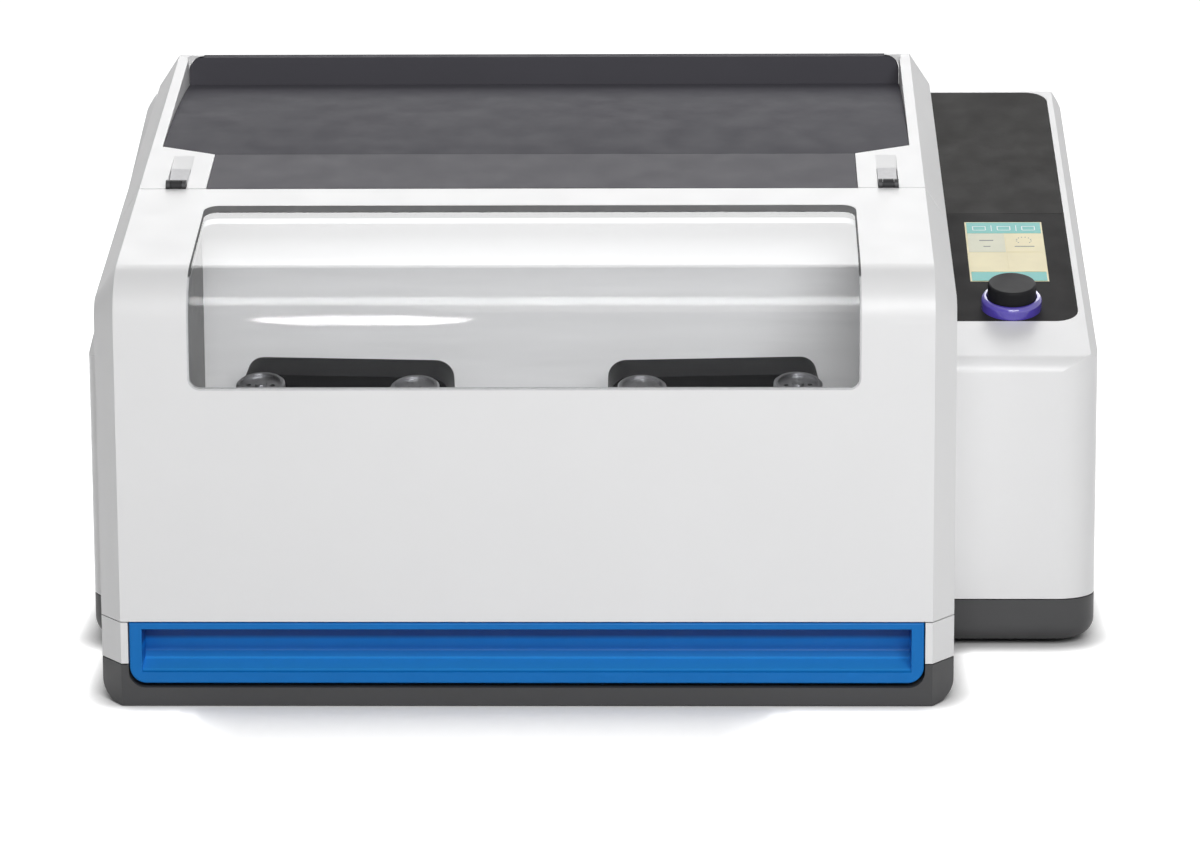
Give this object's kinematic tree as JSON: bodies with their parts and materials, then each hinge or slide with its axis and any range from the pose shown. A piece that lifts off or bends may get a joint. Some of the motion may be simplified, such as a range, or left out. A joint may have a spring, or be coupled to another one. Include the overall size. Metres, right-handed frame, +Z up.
{
  "type": "mixer mill",
  "caption": "Bench mixer mill: white hood with a tinted window and blue-handled lifting lid over swinging jar clamps, on a wider rear block with display and dial.",
  "frame": {"origin": "on the bench, under the middle of the case's overall footprint", "axes": "+X to the instrument's right, -Y towards the user at the front, +Z up"},
  "size_m": [0.69, 0.585, 0.375],
  "materials": {
    "base_dark": "satin",
    "rubber": "matt",
    "gasket_grey": "matt",
    "zinc_steel": "satin",
    "stainless": "brushed",
    "white_shell": "satin",
    "casing_grey": "matt",
    "roof_dark": "satin",
    "strip_grey": "satin",
    "deck_dark": "satin",
    "display": "glossy",
    "ring_purple": "glossy",
    "black_cap": "satin",
    "window_clear": "clear",
    "handle_blue": "satin",
    "machined_steel": "machined",
    "clamp_steel": "bright",
    "block_black": "satin",
    "lock_black": "matt",
    "rear_sheet": "satin",
    "motor_paint": "satin",
    "fasteners": "bright",
    "board_green": "satin"
  },
  "bodies": {
    "base": {"base_pan": "base_dark", "feet": "rubber", "chassis_plate": "zinc_steel", "lower_cheeks": "white_shell", "rear_housing": "white_shell", "deck_cover": "deck_dark", "control_panel": "deck_dark", "display": "display", "light_ring": "ring_purple", "encoder": "lock_black", "top_cover": "white_shell", "seam_strip": "strip_grey", "top_panel": "roof_dark", "chamber_casing": "casing_grey", "chamber_liner": "stainless", "chamber_seal": "rubber", "lock_body": "lock_black", "hinge_brackets": "zinc_steel", "hinge_pins": "machined_steel", "lid_springs": "machined_steel", "rear_panel": "rear_sheet", "power_inlet": "black_cap", "fan_frame": "black_cap", "fan_guard": "fasteners", "motor": "motor_paint", "drive_belt": "rubber", "drive_frame": "zinc_steel", "arm_shafts": "machined_steel", "crank_bearings": "machined_steel", "control_board": "board_green", "case_screws": "fasteners"},
    "lid": {"lid_shell": "white_shell", "window": "window_clear", "window_gasket": "gasket_grey", "window_frame": "casing_grey", "lid_handle": "handle_blue", "lid_striker": "machined_steel", "hinge_levers": "machined_steel", "lid_screws": "fasteners"},
    "lock_bolt": {"lock_bolt": "machined_steel"},
    "encoder_shaft": {"encoder_shaft": "machined_steel"},
    "dial": {"dial": "black_cap"},
    "rocker": {"power_rocker": "black_cap"},
    "fan": {"fan_rotor": "black_cap"},
    "crank": {"crankshaft": "machined_steel"},
    "motor_shaft": {"motor_pulley": "machined_steel"},
    "rod_left": {"conrod_left": "machined_steel"},
    "rod_right": {"conrod_right": "machined_steel"},
    "station_left": {"swing_arm_left": "machined_steel", "clamp_block_left": "block_black"},
    "station_right": {"swing_arm_right": "machined_steel", "clamp_block_right": "block_black"},
    "pad_1": {"clamp_pad_1": "clamp_steel"},
    "screw_1": {"clamp_screw_1": "clamp_steel"},
    "pad_2": {"clamp_pad_2": "clamp_steel"},
    "screw_2": {"clamp_screw_2": "clamp_steel"},
    "pad_3": {"clamp_pad_3": "clamp_steel"},
    "screw_3": {"clamp_screw_3": "clamp_steel"},
    "pad_4": {"clamp_pad_4": "clamp_steel"},
    "screw_4": {"clamp_screw_4": "clamp_steel"}
  },
  "joints": [
    {"name": "lid_hinge", "type": "hinge", "parent": "base", "child": "lid", "pos_m": [-0.04, -0.1235, 0.31892], "axis": [-1, 0, 0], "range_deg": [0, 70], "deforming": ["lid_springs"]},
    {"name": "lock_bolt_slide", "type": "slide", "parent": "base", "child": "lock_bolt", "axis": [-1, 0, 0], "range_m": [0, 0.009]},
    {"name": "dial_press", "type": "slide", "parent": "base", "child": "encoder_shaft", "axis": [0, 0.2924, -0.9563], "range_m": [0, 0.0008], "stiffness_N_per_m": 2000, "springref_m": -0.001},
    {"name": "dial_turn", "type": "hinge", "parent": "encoder_shaft", "child": "dial", "pos_m": [0.289, -0.0597, 0.22379], "axis": [0, -0.2924, 0.9563], "continuous": true},
    {"name": "switch_rock", "type": "hinge", "parent": "base", "child": "rocker", "pos_m": [0.28, 0.2825, 0.103], "axis": [1, 0, 0], "range_deg": [0, 16]},
    {"name": "fan_spin", "type": "hinge", "parent": "base", "child": "fan", "pos_m": [0.15, 0.2745, 0.17], "axis": [0, 1, 0], "continuous": true},
    {"name": "crank_spin", "type": "hinge", "parent": "base", "child": "crank", "pos_m": [-0.04, 0.03717, 0.18], "axis": [0, 0, 1], "continuous": true},
    {"name": "motor_spin", "type": "hinge", "parent": "base", "child": "motor_shaft", "pos_m": [0.19, 0.1475, 0.1], "axis": [0, 0, 1], "continuous": true},
    {"name": "rod_left_pivot", "type": "hinge", "parent": "crank", "child": "rod_left", "pos_m": [-0.03317, 0.03717, 0.182], "axis": [0, 0, 1], "continuous": true},
    {"name": "rod_right_pivot", "type": "hinge", "parent": "crank", "child": "rod_right", "pos_m": [-0.04683, 0.03717, 0.194], "axis": [0, 0, 1], "continuous": true},
    {"name": "station_left_swing", "type": "hinge", "parent": "base", "child": "station_left", "pos_m": [-0.15, -0.0325, 0.16], "axis": [0, 0, 1], "range_deg": [0, 11.2]},
    {"name": "station_right_swing", "type": "hinge", "parent": "base", "child": "station_right", "pos_m": [0.07, -0.0325, 0.16], "axis": [0, 0, 1], "range_deg": [-11.2, 0]},
    {"name": "pad_1_slide", "type": "slide", "parent": "station_left", "child": "pad_1", "axis": [-0.0269, -0.2743, 0.9613], "range_m": [0, 0.014]},
    {"name": "screw_1_turn", "type": "hinge", "parent": "pad_1", "child": "screw_1", "pos_m": [-0.21808, -0.19392, 0.16729], "axis": [-0.0269, -0.2743, 0.9613], "range_deg": [0, 1440.5]},
    {"name": "pad_2_slide", "type": "slide", "parent": "station_left", "child": "pad_2", "axis": [-0.0269, -0.2743, 0.9613], "range_m": [0, 0.014]},
    {"name": "screw_2_turn", "type": "hinge", "parent": "pad_2", "child": "screw_2", "pos_m": [-0.11457, -0.20407, 0.16729], "axis": [-0.0269, -0.2743, 0.9613], "range_deg": [0, 1440.5]},
    {"name": "pad_3_slide", "type": "slide", "parent": "station_right", "child": "pad_3", "axis": [0.0269, -0.2743, 0.9613], "range_m": [0, 0.014]},
    {"name": "screw_3_turn", "type": "hinge", "parent": "pad_3", "child": "screw_3", "pos_m": [0.03457, -0.20407, 0.16729], "axis": [0.0269, -0.2743, 0.9613], "range_deg": [0, 1440.5]},
    {"name": "pad_4_slide", "type": "slide", "parent": "station_right", "child": "pad_4", "axis": [0.0269, -0.2743, 0.9613], "range_m": [0, 0.014]},
    {"name": "screw_4_turn", "type": "hinge", "parent": "pad_4", "child": "screw_4", "pos_m": [0.13808, -0.19392, 0.16729], "axis": [0.0269, -0.2743, 0.9613], "range_deg": [0, 1440.5]}
  ],
  "couplings": [
    {"joint": "motor_spin", "follows": "crank_spin", "ratio": 1.8584},
    {"joint": "rod_left_pivot", "follows": "crank_spin", "ratio": -1},
    {"joint": "rod_right_pivot", "follows": "crank_spin", "ratio": -1},
    {"joint": "station_right_swing", "follows": "station_left_swing", "ratio": -1},
    {"joint": "screw_1_turn", "follows": "pad_1_slide", "rad_per_m": 1795.2},
    {"joint": "screw_2_turn", "follows": "pad_2_slide", "rad_per_m": 1795.2},
    {"joint": "screw_3_turn", "follows": "pad_3_slide", "rad_per_m": 1795.2},
    {"joint": "screw_4_turn", "follows": "pad_4_slide", "rad_per_m": 1795.2}
  ]
}
